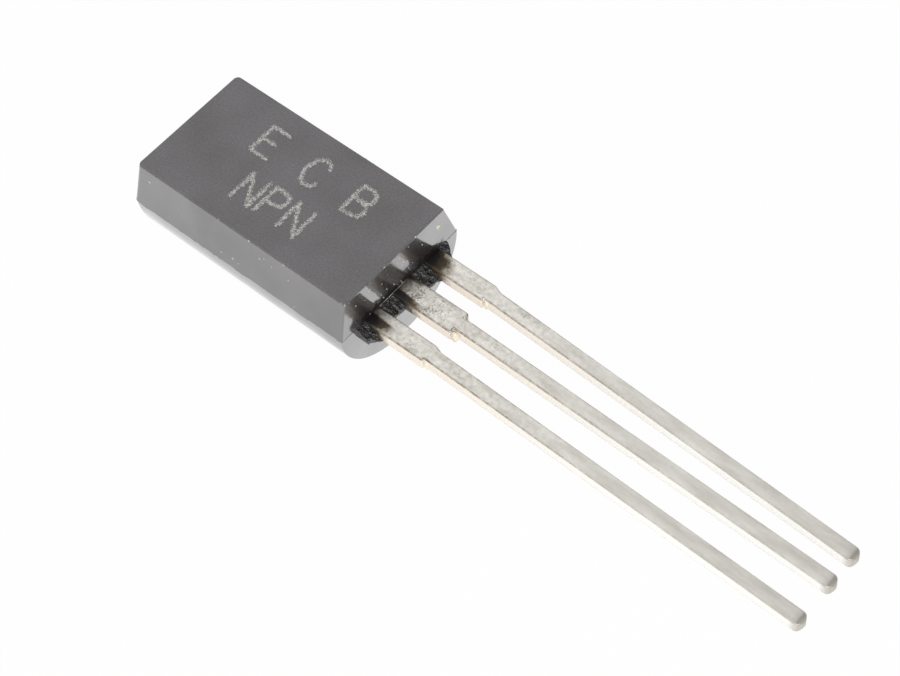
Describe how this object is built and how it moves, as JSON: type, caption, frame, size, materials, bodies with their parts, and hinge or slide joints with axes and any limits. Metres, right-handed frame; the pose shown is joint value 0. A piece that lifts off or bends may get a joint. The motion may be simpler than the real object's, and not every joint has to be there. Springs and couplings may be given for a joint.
{
  "type": "power transistor",
  "caption": "Through-hole bipolar transistor in a long moulded epoxy body, flat in front and half-round at the back, with a row of stamped tin-plated leads.",
  "frame": {"origin": "centre of the bounding box's bottom: on the surface it lies on, midway between the top end and the lead tips", "axes": "+X along the leads towards their tips, +Z out of the flat face, +Y towards the base lead"},
  "size_m": [0.0228, 0.005, 0.0037],
  "materials": {
    "epoxy": "fine matte texture from the mould",
    "tin_plate": "satin tin plate over copper alloy",
    "silicon": "polished",
    "solder": "dull",
    "gold_wire": "bright drawn"
  },
  "bodies": {
    "root": {"moulded_body": "epoxy", "emitter_lead": "tin_plate", "collector_lead": "tin_plate", "base_lead": "tin_plate", "transistor_die": "silicon", "die_solder": "solder", "emitter_bond_wire": "gold_wire", "base_bond_wire": "gold_wire"}
  },
  "joints": []
}
